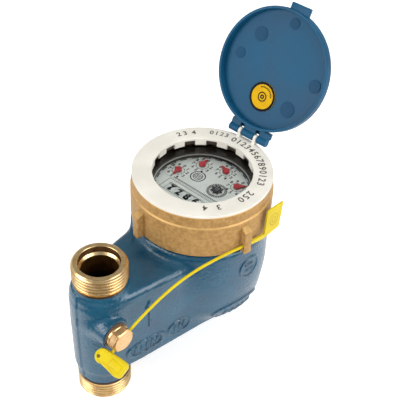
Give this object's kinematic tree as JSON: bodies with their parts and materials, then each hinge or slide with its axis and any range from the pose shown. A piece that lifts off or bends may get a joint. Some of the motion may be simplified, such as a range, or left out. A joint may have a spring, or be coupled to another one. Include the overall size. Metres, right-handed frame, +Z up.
{
  "type": "vertical water meter",
  "caption": "Riser-pipe water meter: blue cast body with side pipe, brass head ring, wet dial under glass, hinged lid and seal.",
  "frame": {"origin": "centre of the pipe's lower end face", "axes": "+Z up along the pipe, +X from the pipe to the metering head, -Y the side with the adjusting plug"},
  "size_m": [0.1888, 0.0954, 0.2074],
  "materials": {
    "body_paint": "satin epoxy paint",
    "cast_brass": "rough cast",
    "turned_brass": "turned",
    "fibre": "matte",
    "grey_plastic": "matte",
    "white_plastic": "matte",
    "rubber": "matte",
    "steel": "ground",
    "black_plastic": "matte",
    "dial_print": "printed",
    "clear_glass": "polished",
    "blue_plastic": "satin",
    "label_film": "printed film",
    "yellow_plastic": "satin",
    "dark_plastic": "satin",
    "roller_plastic": "printed",
    "red_plastic": "satin"
  },
  "bodies": {
    "case": {"meter_body": "body_paint", "strainer_basket": "grey_plastic", "measuring_chamber": "white_plastic", "chamber_gasket": "rubber", "pivot_pin": "steel", "chamber_cover": "white_plastic", "register_case": "black_plastic", "roller_axle": "steel", "dial_plate": "dial_print", "glass_gasket": "rubber", "sight_glass": "clear_glass", "slip_ring": "black_plastic", "head_ring": "cast_brass", "cover_ring": "white_plastic", "hinge_pin": "steel", "adjusting_screw": "turned_brass", "plug_washer": "fibre", "adjusting_plug": "turned_brass", "seal_strap": "yellow_plastic", "seal_lock": "yellow_plastic"},
    "lid_swing": {"lid": "blue_plastic", "lid_label": "label_film"},
    "impeller_turn": {"impeller": "white_plastic"},
    "star_turn": {"star_wheel": "dark_plastic"},
    "pointer_1_turn": {"pointer_1": "red_plastic"},
    "pointer_2_turn": {"pointer_2": "red_plastic"},
    "pointer_3_turn": {"pointer_3": "red_plastic"},
    "pointer_4_turn": {"pointer_4": "red_plastic"},
    "roller_1_turn": {"roller_1": "roller_plastic"},
    "roller_2_turn": {"roller_2": "roller_plastic"},
    "roller_3_turn": {"roller_3": "roller_plastic"},
    "roller_4_turn": {"roller_4": "roller_plastic"},
    "roller_5_turn": {"roller_5": "roller_plastic"}
  },
  "joints": [
    {"name": "lid_hinge", "type": "hinge", "parent": "case", "child": "lid_swing", "pos_m": [0.12522, 0.00264, 0.13], "axis": [0.061, -0.9981, 0], "range_deg": [0, 116.5]},
    {"name": "impeller_spin", "type": "hinge", "parent": "case", "child": "impeller_turn", "pos_m": [0.082, 0, 0.06], "axis": [0, 0, 1], "continuous": true},
    {"name": "star_spin", "type": "hinge", "parent": "case", "child": "star_turn", "pos_m": [0.08643, -0.00851, 0.113], "axis": [0, 0, 1], "continuous": true},
    {"name": "pointer_1_spin", "type": "hinge", "parent": "case", "child": "pointer_1_turn", "pos_m": [0.0976, -0.0148, 0.113], "axis": [0, 0, 1], "continuous": true},
    {"name": "pointer_2_spin", "type": "hinge", "parent": "case", "child": "pointer_2_turn", "pos_m": [0.1035, 0.00007, 0.113], "axis": [0, 0, 1], "continuous": true},
    {"name": "pointer_3_spin", "type": "hinge", "parent": "case", "child": "pointer_3_turn", "pos_m": [0.09749, 0.01491, 0.113], "axis": [0, 0, 1], "continuous": true},
    {"name": "pointer_4_spin", "type": "hinge", "parent": "case", "child": "pointer_4_turn", "pos_m": [0.0829, 0.02148, 0.113], "axis": [0, 0, 1], "continuous": true},
    {"name": "roller_1_spin", "type": "hinge", "parent": "case", "child": "roller_1_turn", "pos_m": [0.07026, -0.01274, 0.1066], "axis": [0.061, -0.9981, 0], "continuous": true},
    {"name": "roller_2_spin", "type": "hinge", "parent": "case", "child": "roller_2_turn", "pos_m": [0.06986, -0.0063, 0.1066], "axis": [0.061, -0.9981, 0], "continuous": true},
    {"name": "roller_3_spin", "type": "hinge", "parent": "case", "child": "roller_3_turn", "pos_m": [0.06947, 0.00014, 0.1066], "axis": [0.061, -0.9981, 0], "continuous": true},
    {"name": "roller_4_spin", "type": "hinge", "parent": "case", "child": "roller_4_turn", "pos_m": [0.06907, 0.00657, 0.1066], "axis": [0.061, -0.9981, 0], "continuous": true},
    {"name": "roller_5_spin", "type": "hinge", "parent": "case", "child": "roller_5_turn", "pos_m": [0.06868, 0.01301, 0.1066], "axis": [0.061, -0.9981, 0], "continuous": true}
  ],
  "couplings": [
    {"joint": "star_spin", "follows": "impeller_spin", "ratio": -0.33333},
    {"joint": "pointer_1_spin", "follows": "impeller_spin", "ratio": 0.11111},
    {"joint": "pointer_2_spin", "follows": "impeller_spin", "ratio": -0.011111},
    {"joint": "pointer_3_spin", "follows": "impeller_spin", "ratio": 0.0011111},
    {"joint": "pointer_4_spin", "follows": "impeller_spin", "ratio": -0.00011111},
    {"joint": "roller_1_spin", "follows": "impeller_spin", "ratio": 0.000011111},
    {"joint": "roller_2_spin", "follows": "impeller_spin", "ratio": 0.0000011111},
    {"joint": "roller_3_spin", "follows": "impeller_spin", "ratio": 0.00000011111},
    {"joint": "roller_4_spin", "follows": "impeller_spin", "ratio": 0.000000011111},
    {"joint": "roller_5_spin", "follows": "impeller_spin", "ratio": 0.0000000011111}
  ]
}
